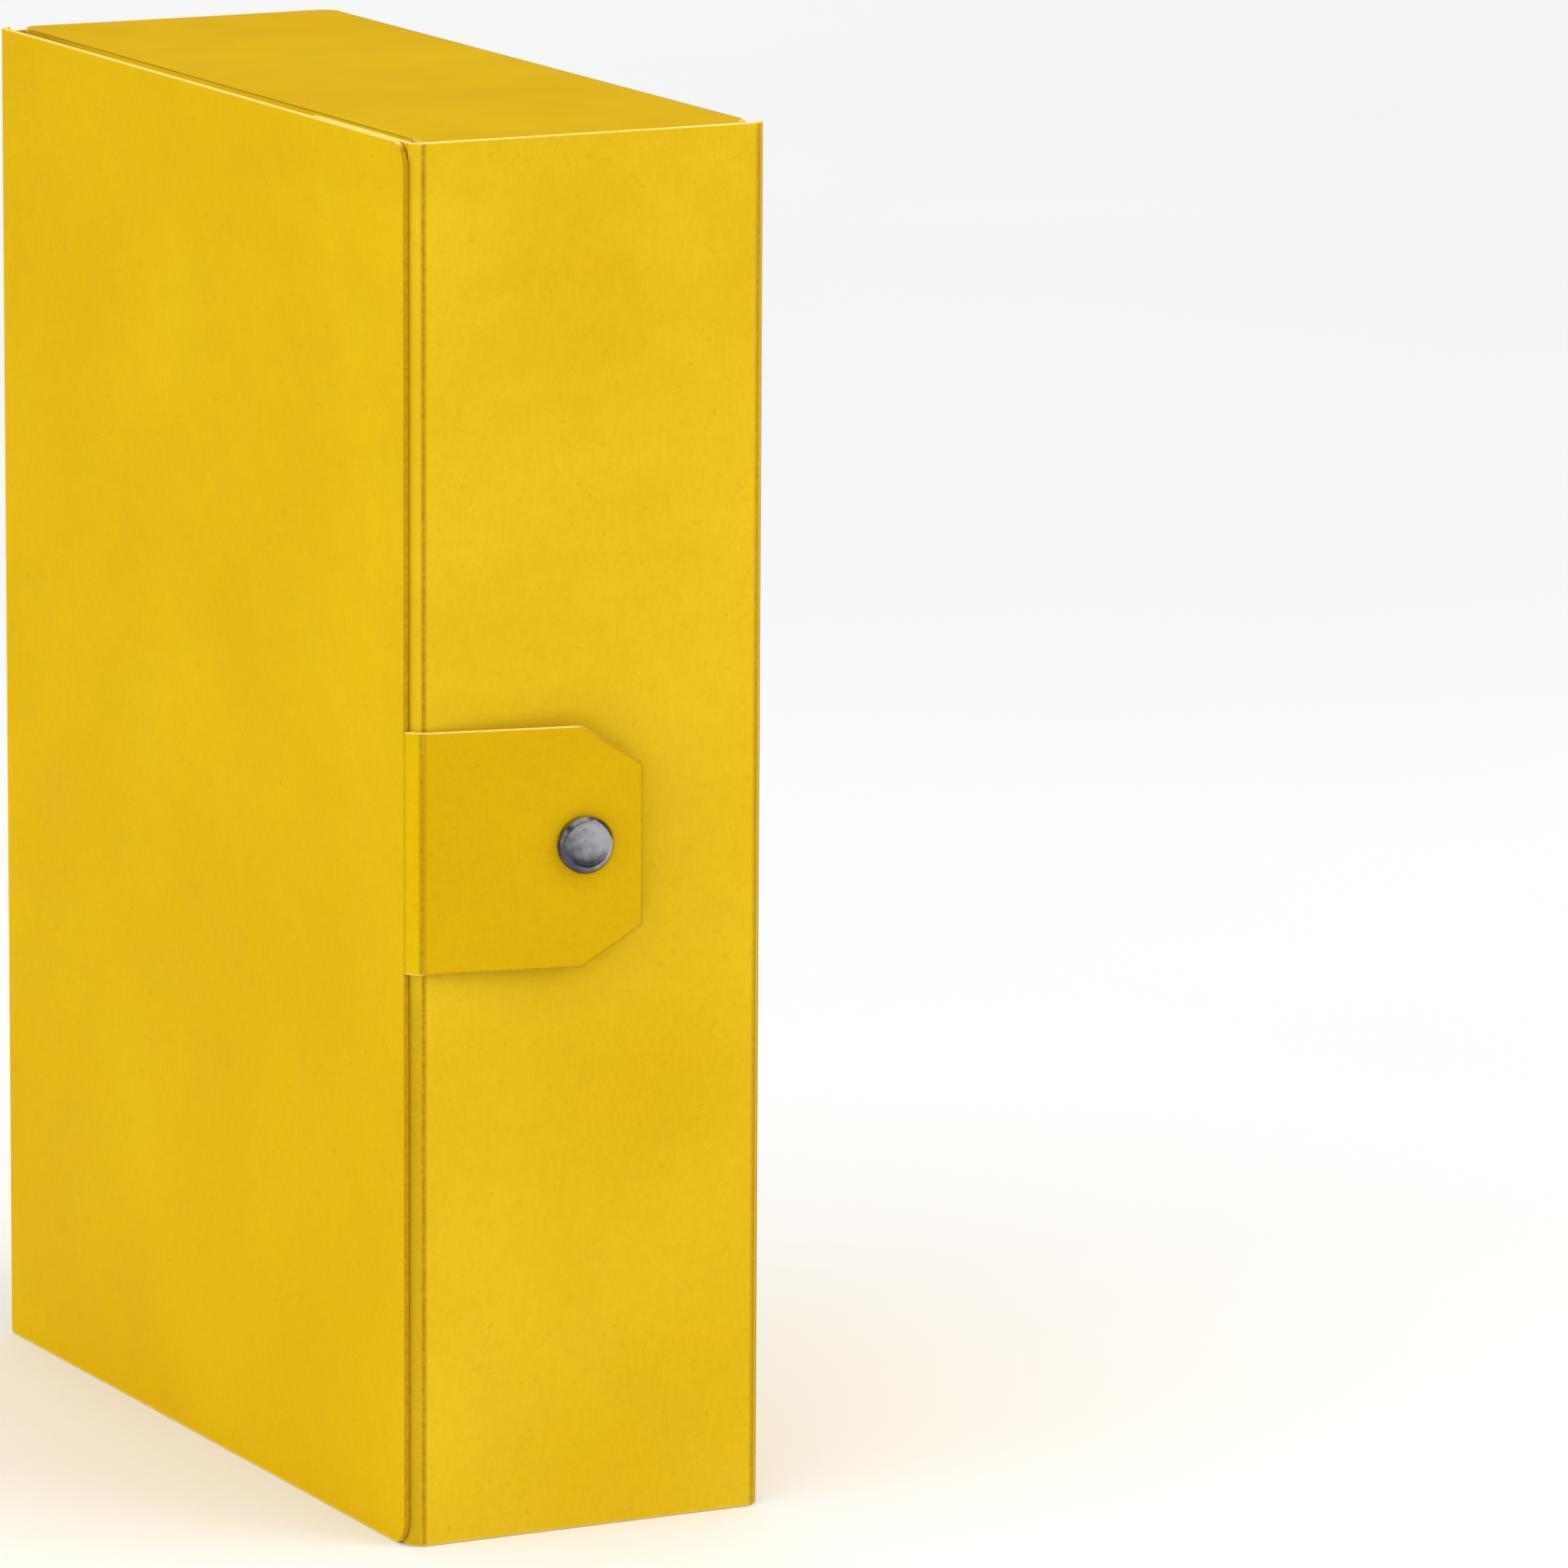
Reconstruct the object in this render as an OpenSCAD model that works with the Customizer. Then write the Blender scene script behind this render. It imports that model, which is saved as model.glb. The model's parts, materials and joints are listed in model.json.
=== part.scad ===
// Upright document box of scored board, closed by a tab with a snap button.
// The box stands on Z = 0. The tab closes on the -Y face, the cover opens on the -X side,
// the spine is on +Y and the back cover on +X. Millimetres, closed position.

/* [Box] */
// Width of the spine, from cover to back cover
box_w = 98; // [80:1:150]
// Depth from the spine to the face with the tab
box_d = 250; // [200:1:320]
// Height of the standing box
box_h = 350; // [280:1:420]

/* [Board] */
// Thickness of the board
board_t = 1.2; // [0.8:0.1:1.6]
// Width of the bevel strip between the two scores of a corner
crease_w = 3.5; // [3.2:0.1:5]
// Gap between two layers of board that lie on each other
layer_gap = 0.3; // [0.3:0.05:1]
// Gap between the tab's bevel strip and the wall's bevel strip under it
crease_gap = 0.35; // [0.3:0.05:0.6]
// Slit between two pieces of board at a score
score_slit = 0.1; // [0.06:0.02:0.2]
// Gap between the end of a top or bottom wall and the upright board beside it
end_gap = 0.4; // [0.3:0.1:1]

/* [Cover and walls] */
// Radius of the cover's two free corners
cover_r = 6; // [2:1:12]
// Width of the tuck flap on the wall that the tab closes on
side_flap_w = 62; // [40:1:75]
// Radius of that flap's free corners
side_flap_r = 8; // [3:1:12]
// Width of the tuck flaps on the top and bottom walls
end_flap_w = 42; // [30:1:60]
// Length that the sloping ends of those flaps are cut back
end_flap_slope = 26; // [10:1:40]
// Corner clip of the top and bottom walls beside the tab's wall
wall_clip = 7; // [6:1:12]
// Radius of the top and bottom walls' corners beside the spine
wall_r = 6; // [5:1:12]
// How far the spine's ends stay below the covers' ends
spine_drop = 1; // [0.5:0.1:3]

/* [Tab] */
// Height of the tab at its root
tab_h = 60.5; // [50:0.5:80]
// Length of the tab from its fold to its end
tab_l = 57.5; // [54:0.5:66]
// Length of the sloping corners, along the tab
tab_clip_l = 16; // [8:1:18]
// Height of the sloping corners
tab_clip_h = 10; // [6:0.5:18]
// Drop of the tab's end, which hangs a little
tab_sag = 1.2; // [0:0.1:4]
// Height of the tab's middle above the middle of the box
tab_offset = 0; // [-60:0.5:60]
// Gap between the tab and the wall at the fold
tab_root_gap = 0.6; // [0.4:0.1:1]
// Angle at which the closed tab leans off the wall
tab_lean = 5.5; // [5:0.1:6.6]

/* [Snap button] */
// Distance of the button's centre from the tab's fold
snap_u = 42; // [40:0.5:46]
// Height of the button's centre above the tab's middle line
snap_rise = 0.8; // [-4:0.1:4]
// Diameter of the cap
cap_d = 14.4; // [12:0.1:16]
// Height of the cap
cap_h = 3; // [2:0.1:4]
// Diameter of the socket behind the tab
socket_d = 10.8; // [10.4:0.1:12]
// Radius of the stud's head
head_r = 2; // [1.8:0.05:2.2]
// Radius of the cap's post, which holds the socket
post_r = 1.9; // [1.6:0.05:2.1]
// Radius of the eyelet's post, which holds the stud
eyelet_r = 1.15; // [1:0.05:1.2]

/* [Hidden] */
$fn = 64;

board_color = "gold";
inside_color = "goldenrod";
metal_color = "dimgray";
spring_color = "silver";

// A corner turns 90 degrees over two scores. A flap that slips out under the cover ends up
// folded back on its wall, so its two scores turn 90 degrees each.
score_fold = 45;
tuck_fold = 90;
cut_edge = 0; // fold angle that stands for a cut edge

half_w = box_w / 2;
half_d = box_d / 2;
bevel = crease_w / sqrt(2);
layer = board_t + layer_gap;
side_x = -half_w + layer;
end_x = side_x + layer;
cover_inset = bevel + layer_gap - board_t * (sqrt(2) - 1) - crease_gap * sqrt(2);
tab_step = cover_inset + tab_root_gap + board_t;
tab_mid = box_h / 2 + tab_offset;
tab_notch = 0.3; // room above and below the tab's fold in the cover's edge
beyond = 5; // overshoot of a cutting tool

// Score lines seen from above, on the outer face of the board.
back_spine_score = [half_w, half_d - bevel];
spine_back_score = [half_w - bevel, half_d];
spine_cover_score = [-half_w + bevel, half_d];
cover_spine_score = [-half_w, half_d - bevel];
cover_edge = [-half_w, -half_d + cover_inset];
tab_score = cover_edge + [tab_step, -tab_step];
flap_free_edge = [side_x, -half_d + bevel + side_flap_w];
flap_wall_score = [side_x, -half_d + bevel];
wall_flap_score = [side_x + bevel, -half_d];
wall_back_score = [half_w - bevel, -half_d];
back_wall_score = [half_w, -half_d + bevel];

// Score lines of the top and bottom walls seen from the tab's side, as [x, height].
end_wall_outer = [half_w - bevel, 0];
end_back_score = [half_w, bevel];
end_wall_inner = [end_x + bevel, 0];
end_flap_score = [end_x, bevel];
end_flap_edge = [end_x, bevel + end_flap_w];
end_front = -half_d + board_t + end_gap;
end_rear = half_d - board_t - end_gap;

// Snap button, measured along its axis.
snap_z = tab_mid - tab_sag * snap_u / tab_l + snap_rise;
snap_gap = tab_root_gap + snap_u * sin(tab_lean);
plate_t = 0.5;
clinch_t = 0.3;
clinch_r = post_r + 0.7;
post_fit = 0.1;
head_t = 1;
head_room = 0.6;
socket_room = 1.4;
socket_h = snap_gap - socket_room;
stud_h = snap_gap - plate_t - clinch_t - head_room;
spring_wire_r = 0.4;
spring_room = 0.2;
spring_r = head_r + spring_room + spring_wire_r;
spring_slot = 1.2;
mouth_r = head_r + 0.6;
chamber_r = spring_r + spring_wire_r + 0.3;
spring_depth = board_t + socket_h - plate_t - spring_wire_r - 0.1;
stud_depth = board_t + snap_gap - stud_h + head_t / 2;
stud_x = tab_score.x + snap_u * cos(tab_lean) + stud_depth * sin(tab_lean);
stud_flange_t = 0.4;
stud_flange_r = 4.2;
stud_neck_r = 1.6;
stud_bore_r = eyelet_r + 0.1;
eyelet_flange_r = 4;
eyelet_flange_t = 0.4;
eyelet_reach = 1.6;
cap_bevel = 0.8;
cap_rim = 1.5;
cap_recess = 0.3;

// Board between two fold lines, raised along Z from low to high. The inner face lies on the
// left of the way from a to b. An end is mitred for its fold; a cut edge is left square.
module board(a, b, low, high, fold_a, fold_b) {
  run = norm(b - a);
  slit_a = fold_a == cut_edge ? 0 : score_slit / 2;
  slit_b = fold_b == cut_edge ? 0 : score_slit / 2;
  translate([a.x, a.y, low])
    rotate(atan2(b.y - a.y, b.x - a.x))
      linear_extrude(high - low)
        polygon([
          [slit_a, 0],
          [run - slit_b, 0],
          [run - slit_b - board_t * tan(fold_b / 2), board_t],
          [slit_a + board_t * tan(fold_a / 2), board_t]
        ]);
}

// Stands what is drawn on XY up on the XZ plane and raises it along Y from front to rear.
module across(rear) {
  translate([0, rear, 0]) rotate([90, 0, 0]) children();
}

// The waste outside a rounded corner at the origin, for a sheet that fills the +X +Y quarter.
module corner_waste(r) {
  difference() {
    translate([-beyond, -beyond]) square(r + beyond);
    translate([r, r]) circle(r);
  }
}

// Cuts a rounded corner off an upright sheet whose wide faces look along X.
// turn_y and turn_z are 1 where the sheet lies on the + side of the corner, -1 on the other.
module side_corner_cut(x, y, z, r, turn_y, turn_z) {
  translate([x - beyond, y, z])
    multmatrix([[0, 0, 1, 0], [turn_y, 0, 0, 0], [0, turn_z, 0, 0], [0, 0, 0, 1]])
      linear_extrude(2 * beyond) corner_waste(r);
}

// Mirrors the bottom end of the box to its top.
module at_top() {
  translate([0, 0, box_h]) mirror([0, 0, 1]) children();
}

// The tab's own frame: X along the tab from its fold, Y into the board, Z up.
module tab_frame() {
  translate([tab_score.x, tab_score.y, tab_mid]) rotate(-tab_lean) children();
}

// Axis of the button through the tab: Z runs inwards from the tab's outer face.
module button_axis() {
  tab_frame() translate([snap_u, 0, snap_z - tab_mid]) rotate([-90, 0, 0]) children();
}

// Axis of the stud: Z runs outwards from the wall's outer face.
module stud_axis() {
  translate([stud_x, -half_d, snap_z]) rotate([90, 0, 0]) children();
}

module back_cover() {
  color(board_color)
    intersection() {
      board(back_wall_score, back_spine_score, bevel, box_h - bevel, score_fold, score_fold);
      // The sheet's top and bottom ends are mitred for the scores of the end walls.
      across(half_d)
        linear_extrude(box_d)
          polygon([
            [half_w, bevel + score_slit / 2],
            [half_w, box_h - bevel - score_slit / 2],
            [half_w - board_t, box_h - bevel - score_slit / 2 - board_t * tan(score_fold / 2)],
            [half_w - board_t, bevel + score_slit / 2 + board_t * tan(score_fold / 2)]
          ]);
    }
}

module spine() {
  color(board_color)
    board(spine_back_score, spine_cover_score, spine_drop, box_h - spine_drop,
          score_fold, score_fold);
}

module spine_back_crease() {
  color(board_color)
    board(back_spine_score, spine_back_score, spine_drop, box_h - spine_drop,
          score_fold, score_fold);
}

module spine_cover_crease() {
  color(board_color)
    board(spine_cover_score, cover_spine_score, 0, box_h, score_fold, score_fold);
}

module front_cover() {
  color(board_color)
    difference() {
      board(cover_spine_score, cover_edge, 0, box_h, score_fold, cut_edge);
      side_corner_cut(-half_w, cover_edge.y, 0, cover_r, 1, 1);
      side_corner_cut(-half_w, cover_edge.y, box_h, cover_r, 1, -1);
      // The edge is mitred and slit only where the tab folds.
      translate([-half_w, cover_edge.y, tab_mid - tab_h / 2 - tab_notch])
        linear_extrude(tab_h + 2 * tab_notch)
          polygon([
            [-beyond, -beyond],
            [-beyond, score_slit / 2],
            [0, score_slit / 2],
            [board_t, score_slit / 2 + board_t * tan(score_fold / 2)],
            [board_t + beyond, -beyond]
          ]);
    }
}

module tab_crease() {
  color(board_color)
    board(cover_edge, tab_score, tab_mid - tab_h / 2, tab_mid + tab_h / 2,
          score_fold, score_fold);
}

module tab_outline() {
  slope_u = tab_l - tab_clip_l;
  slope_sag = tab_sag * slope_u / tab_l;
  polygon([
    [-beyond, -tab_h / 2],
    [0, -tab_h / 2],
    [slope_u, -tab_h / 2 - slope_sag],
    [tab_l, -tab_h / 2 + tab_clip_h - tab_sag],
    [tab_l, tab_h / 2 - tab_clip_h - tab_sag],
    [slope_u, tab_h / 2 - slope_sag],
    [0, tab_h / 2],
    [-beyond, tab_h / 2]
  ]);
}

module closing_tab() {
  color(board_color)
    difference() {
      tab_frame()
        intersection() {
          board([0, 0], [tab_l, 0], -tab_h, tab_h, score_fold, cut_edge);
          translate([0, board_t + beyond, 0])
            rotate([90, 0, 0])
              linear_extrude(board_t + 2 * beyond) tab_outline();
        }
      button_axis() translate([0, 0, -beyond]) cylinder(r = post_r + post_fit, h = 3 * beyond);
    }
}

// Sheet outline of a top or bottom wall seen from above: clipped beside the tab's wall where
// the bevel strip stands, rounded beside the spine.
module end_wall_outline() {
  left = end_wall_inner.x - beyond;
  right = end_wall_outer.x;
  difference() {
    translate([left, end_front]) square([right + beyond - left, end_rear - end_front]);
    polygon([
      [right + 2 * beyond, end_front - beyond],
      [right - wall_clip + bevel, end_front - beyond],
      [right - wall_clip + bevel, end_front],
      [right, end_front + wall_clip],
      [right + 2 * beyond, end_front + wall_clip]
    ]);
    translate([end_wall_inner.x, end_rear]) mirror([0, 1]) corner_waste(wall_r);
    translate([right, end_rear]) rotate(180) corner_waste(wall_r);
  }
}

module bottom_wall_shape() {
  intersection() {
    across(half_d) board(end_wall_inner, end_wall_outer, 0, box_d, tuck_fold, score_fold);
    translate([0, 0, -beyond]) linear_extrude(board_t + 2 * beyond) end_wall_outline();
  }
}

module end_back_crease_shape() {
  across(end_rear - wall_r)
    board(end_wall_outer, end_back_score, 0, end_rear - wall_r - (end_front + wall_clip),
          score_fold, score_fold);
}

module end_flap_crease_shape() {
  across(end_rear - wall_r)
    board(end_flap_score, end_wall_inner, 0, end_rear - wall_r - (end_front + wall_clip),
          tuck_fold, tuck_fold);
}

// Tuck flap of a top or bottom wall, with sloping ends.
module end_flap_shape() {
  front = end_front + wall_clip;
  rear = end_rear - wall_r;
  intersection() {
    across(half_d) board(end_flap_edge, end_flap_score, 0, box_d, cut_edge, tuck_fold);
    translate([end_x - beyond, 0, 0])
      rotate([90, 0, 90])
        linear_extrude(board_t + 2 * beyond)
          polygon([
            [front, 0],
            [rear, 0],
            [rear, bevel],
            [rear - end_flap_slope, end_flap_edge.y],
            [front + end_flap_slope, end_flap_edge.y],
            [front, bevel]
          ]);
  }
}

module top_wall() { color(board_color) at_top() bottom_wall_shape(); }

module top_back_crease() { color(board_color) at_top() end_back_crease_shape(); }

module top_flap_crease() { color(board_color) at_top() end_flap_crease_shape(); }

module top_flap() { color(inside_color) at_top() end_flap_shape(); }

module bottom_wall() { color(board_color) bottom_wall_shape(); }

module bottom_back_crease() { color(board_color) end_back_crease_shape(); }

module bottom_flap_crease() { color(board_color) end_flap_crease_shape(); }

module bottom_flap() { color(inside_color) end_flap_shape(); }

module fore_edge_wall() {
  color(board_color)
    difference() {
      board(wall_flap_score, wall_back_score, 0, box_h, score_fold, score_fold);
      stud_axis()
        translate([0, 0, -3 * beyond]) cylinder(r = stud_bore_r, h = 6 * beyond);
    }
}

module fore_edge_back_crease() {
  color(board_color)
    board(wall_back_score, back_wall_score, 0, box_h, score_fold, score_fold);
}

module fore_edge_flap_crease() {
  color(board_color)
    board(flap_wall_score, wall_flap_score, 0, box_h, score_fold, score_fold);
}

module fore_edge_flap() {
  color(inside_color)
    difference() {
      board(flap_free_edge, flap_wall_score, 0, box_h, cut_edge, score_fold);
      side_corner_cut(side_x, flap_free_edge.y, 0, side_flap_r, -1, 1);
      side_corner_cut(side_x, flap_free_edge.y, box_h, side_flap_r, -1, -1);
    }
}

// Cap with a bevelled edge and a shallow dished face. Its post passes through the tab and the
// socket's plate and is clinched over.
module snap_cap() {
  r = cap_d / 2;
  clinch_at = board_t + plate_t;
  color(metal_color)
    button_axis()
      rotate_extrude()
        polygon([
          [0, -cap_h + cap_recess],
          [r - cap_bevel - cap_rim, -cap_h + cap_recess],
          [r - cap_bevel - cap_rim + cap_recess, -cap_h],
          [r - cap_bevel, -cap_h],
          [r, -cap_h + cap_bevel],
          [r, 0],
          [post_r, 0],
          [post_r, clinch_at],
          [clinch_r, clinch_at],
          [clinch_r, clinch_at + clinch_t],
          [0, clinch_at + clinch_t]
        ]);
}

module snap_socket() {
  r = socket_d / 2;
  color(metal_color)
    button_axis()
      translate([0, 0, board_t])
        rotate_extrude()
          polygon([
            [post_r + post_fit, 0],
            [r, 0],
            [r, plate_t],
            [chamber_r + plate_t, plate_t + clinch_t],
            [chamber_r + plate_t, socket_h - clinch_t],
            [chamber_r + plate_t - clinch_t, socket_h],
            [mouth_r, socket_h],
            [mouth_r, socket_h - plate_t],
            [chamber_r, socket_h - plate_t],
            [chamber_r, plate_t],
            [post_r + post_fit, plate_t]
          ]);
}

// Split ring of wire that grips the stud's head.
module snap_spring() {
  color(spring_color)
    button_axis()
      translate([0, 0, spring_depth])
        difference() {
          rotate_extrude() translate([spring_r, 0]) circle(spring_wire_r, $fn = 24);
          translate([0, -spring_slot / 2, -beyond])
            cube([beyond, spring_slot, 2 * beyond]);
        }
}

module snap_stud() {
  color(metal_color)
    stud_axis()
      rotate_extrude()
        polygon([
          [stud_bore_r, 0],
          [stud_flange_r, 0],
          [stud_flange_r - stud_flange_t / 2, stud_flange_t],
          [stud_neck_r, stud_flange_t],
          [stud_neck_r, stud_h - head_t],
          [head_r, stud_h - head_t * 2 / 3],
          [head_r, stud_h - head_t / 3],
          [stud_neck_r, stud_h],
          [0, stud_h],
          [0, eyelet_reach + stud_flange_t],
          [stud_bore_r, eyelet_reach + stud_flange_t]
        ]);
}

module stud_eyelet() {
  color(metal_color)
    stud_axis()
      translate([0, 0, -board_t])
        rotate_extrude()
          polygon([
            [0, -eyelet_flange_t],
            [eyelet_flange_r - eyelet_flange_t / 2, -eyelet_flange_t],
            [eyelet_flange_r, 0],
            [eyelet_r, 0],
            [eyelet_r, board_t + eyelet_reach],
            [0, board_t + eyelet_reach]
          ]);
}

back_cover();
spine();
front_cover();
closing_tab();
top_wall();
top_flap();
bottom_wall();
bottom_flap();
fore_edge_wall();
fore_edge_flap();
spine_back_crease();
spine_cover_crease();
tab_crease();
top_back_crease();
top_flap_crease();
bottom_back_crease();
bottom_flap_crease();
fore_edge_back_crease();
fore_edge_flap_crease();
snap_cap();
snap_socket();
snap_spring();
snap_stud();
stud_eyelet();
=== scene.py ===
import json
import math

import bmesh
import bpy
from mathutils import Matrix, Vector, noise


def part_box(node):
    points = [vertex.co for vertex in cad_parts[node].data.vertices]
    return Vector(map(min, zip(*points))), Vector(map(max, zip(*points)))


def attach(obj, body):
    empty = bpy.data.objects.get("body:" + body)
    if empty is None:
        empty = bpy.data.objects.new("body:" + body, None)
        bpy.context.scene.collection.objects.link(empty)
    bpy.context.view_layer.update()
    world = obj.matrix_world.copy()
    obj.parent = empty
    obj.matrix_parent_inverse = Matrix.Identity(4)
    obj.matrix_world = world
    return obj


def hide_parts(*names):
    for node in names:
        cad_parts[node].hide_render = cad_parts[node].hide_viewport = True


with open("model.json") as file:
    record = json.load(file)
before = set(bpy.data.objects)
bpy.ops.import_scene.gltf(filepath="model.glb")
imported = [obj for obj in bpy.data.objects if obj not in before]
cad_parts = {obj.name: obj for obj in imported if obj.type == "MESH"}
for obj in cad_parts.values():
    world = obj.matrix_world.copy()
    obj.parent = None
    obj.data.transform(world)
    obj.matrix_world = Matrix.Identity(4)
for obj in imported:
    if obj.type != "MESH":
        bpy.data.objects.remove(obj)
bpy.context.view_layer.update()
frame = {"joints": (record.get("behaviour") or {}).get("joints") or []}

MM = 0.001
JOINT = {j["name"]: Vector(j["pos_m"]) / MM for j in frame["joints"]}


def corner(node, high):
    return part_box(node)[1 if high else 0] / MM


# ---- sizes in millimetres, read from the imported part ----
HALF_W = corner("back_cover", True).x
HALF_D = corner("spine", True).y
TALL = corner("front_cover", True).z
BOARD = corner("spine", True).y - corner("spine", False).y
BEVEL = HALF_D - JOINT["cover_open"].y
SIDE_X = JOINT["fore_edge_flap_score"].x
END_X = JOINT["top_flap_score"].x
COVER_EDGE = JOINT["tab_open"].xy
TAB_SCORE = JOINT["tab_face_score"].xy
TAB_MID = JOINT["tab_open"].z
TAB_H = corner("tab_crease", True).z - corner("tab_crease", False).z
SPINE_LOW = corner("spine", False).z
SIDE_FLAP_EDGE = corner("fore_edge_flap", True).y
END_FRONT = corner("top_wall", False).y
END_REAR = corner("top_wall", True).y
STRIP_FRONT = corner("top_back_crease", False).y
STRIP_REAR = corner("top_back_crease", True).y
END_FLAP_Z = corner("top_flap", False).z

# ---- sizes that no box tells, with the part's own values ----
TAB_NOTCH = 0.3
TAB_SAG = 1.2
TAB_CLIP_L, TAB_CLIP_H = 16.0, 10.0
END_FLAP_SLOPE = 26.0
COVER_R, SIDE_FLAP_R, WALL_R, WALL_CLIP = 6.0, 8.0, 6.0, 7.0
TAB_LEAN = math.radians(5.5)
TAB_DIR = Vector((math.cos(TAB_LEAN), -math.sin(TAB_LEAN)))
TAB_L, SNAP_U, SNAP_RISE = 57.5, 42.0, 0.8
TAB_SLOPE_R, TAB_END_R, END_FLAP_R = 1.5, 1.2, 3.0     # small corner roundings that only the pieces have

# ---- how a sheet is drawn ----
SLIT = 0.02       # half the gap drawn between two pieces at a score
SOFT = 0.16       # how far a cut edge is rounded off
RIM = 0.22        # width of the face beside a cut edge that hands darken
WIDE_RIM = 0.55   # width in which that fades out
CELL = 9.0        # grid cell of a sheet
GROOVE = 0.13     # depth of a score
GROOVE_REACH = 1.5    # distance from a fold at which its groove has run out
FOLD_LINES = (0.4, 0.75, 1.15, 1.6, 2.1)   # closer grid lines beside a fold
STEP = 0.15       # length in which a cut side turns into a fold
WELD = 0.003      # points nearer than this become one
ARC_STEP = 0.7    # length of one side of a rounded corner
CALM = (2.0, 26.0)    # distances from a fold between which the sheet begins to bow
FAR = 99.0            # more than any distance that counts
MARK = (0.45, 0.9)    # how dark and how wide the band beside a score is, burnish and painted crease shade, unless told
SHEET_CREASE, TURNED_CREASE, WIRE_CREASE = 50, 38, 60     # degrees beyond which an edge stays sharp
UP = Vector((0, 0, 1))
CUT = ("cut", 0.0)
SCORE = ("fold", math.radians(45))
TUCK = ("fold", math.radians(90))

# the rings of a sheet from its outer face inwards: depth, inset at a cut, inset at a fold beyond its mitre
LAYERS = ((0.0, SOFT + WIDE_RIM, 0.3), (0.0, SOFT + RIM, 0.14), (0.0, SOFT, 0.0),
          (0.3 * SOFT, 0.3 * SOFT, 0.0), (SOFT, 0.0, 0.0), (BOARD - SOFT, 0.0, 0.0),
          (BOARD - 0.3 * SOFT, 0.3 * SOFT, 0.0), (BOARD, SOFT, 0.0), (BOARD, SOFT + RIM, 0.14))

# ---- colours that every board shares, and the slope of the cap's painted shade, per metre along x and y ----
FLECK_COLOUR = (0.50, 0.27, 0.004, 1)
# Dark brown that the board is darkened towards: burnish at scores, and painted shade in creases, along cut
# edges and on faces.
SHADE_AND_BURNISH_COLOUR = (0.34, 0.175, 0.006, 1)
CUT_COLOUR = (0.96, 0.80, 0.23, 1)
CAP_SHADE_SLANT = (-75.0, -55.0)


# ---- materials ----
def new_material(name):
    mat = bpy.data.materials.new(name)
    mat.use_nodes = True
    tree = mat.node_tree
    tree.nodes.clear()
    out = tree.nodes.new("ShaderNodeOutputMaterial")
    bsdf = tree.nodes.new("ShaderNodeBsdfPrincipled")
    tree.links.new(bsdf.outputs["BSDF"], out.inputs["Surface"])
    return mat, tree, bsdf


def add(tree, kind, inputs=None, **settings):
    node = tree.nodes.new(kind)
    for key, value in settings.items():
        setattr(node, key, value)
    for key, value in (inputs or {}).items():
        if isinstance(value, bpy.types.NodeSocket):
            tree.links.new(value, node.inputs[key])
        else:
            node.inputs[key].default_value = value
    return node


def cloud(tree, coord, scale, detail=3.0, rough=0.55, stretch=None):
    if stretch:
        coord = add(tree, "ShaderNodeMapping", {"Vector": coord, "Scale": stretch}).outputs["Vector"]
    return add(tree, "ShaderNodeTexNoise",
               {"Vector": coord, "Scale": scale, "Detail": detail, "Roughness": rough}).outputs["Fac"]


def span(tree, value, low, high, to_low, to_high):
    return add(tree, "ShaderNodeMapRange",
               {0: value, 1: low, 2: high, 3: to_low, 4: to_high}).outputs[0]


def maths(tree, operation, a, b=0.0, clamp=False):
    return add(tree, "ShaderNodeMath", {0: a, 1: b}, operation=operation, use_clamp=clamp).outputs[0]


def mix(tree, factor, a, b, blend="MIX"):
    node = add(tree, "ShaderNodeMix", data_type="RGBA", blend_type=blend)
    for key, value in ((0, factor), (6, a), (7, b)):
        if isinstance(value, bpy.types.NodeSocket):
            tree.links.new(value, node.inputs[key])
        else:
            node.inputs[key].default_value = value
    return node.outputs[2]


def attribute(tree, name):
    return add(tree, "ShaderNodeAttribute", attribute_name=name).outputs["Fac"]


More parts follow.
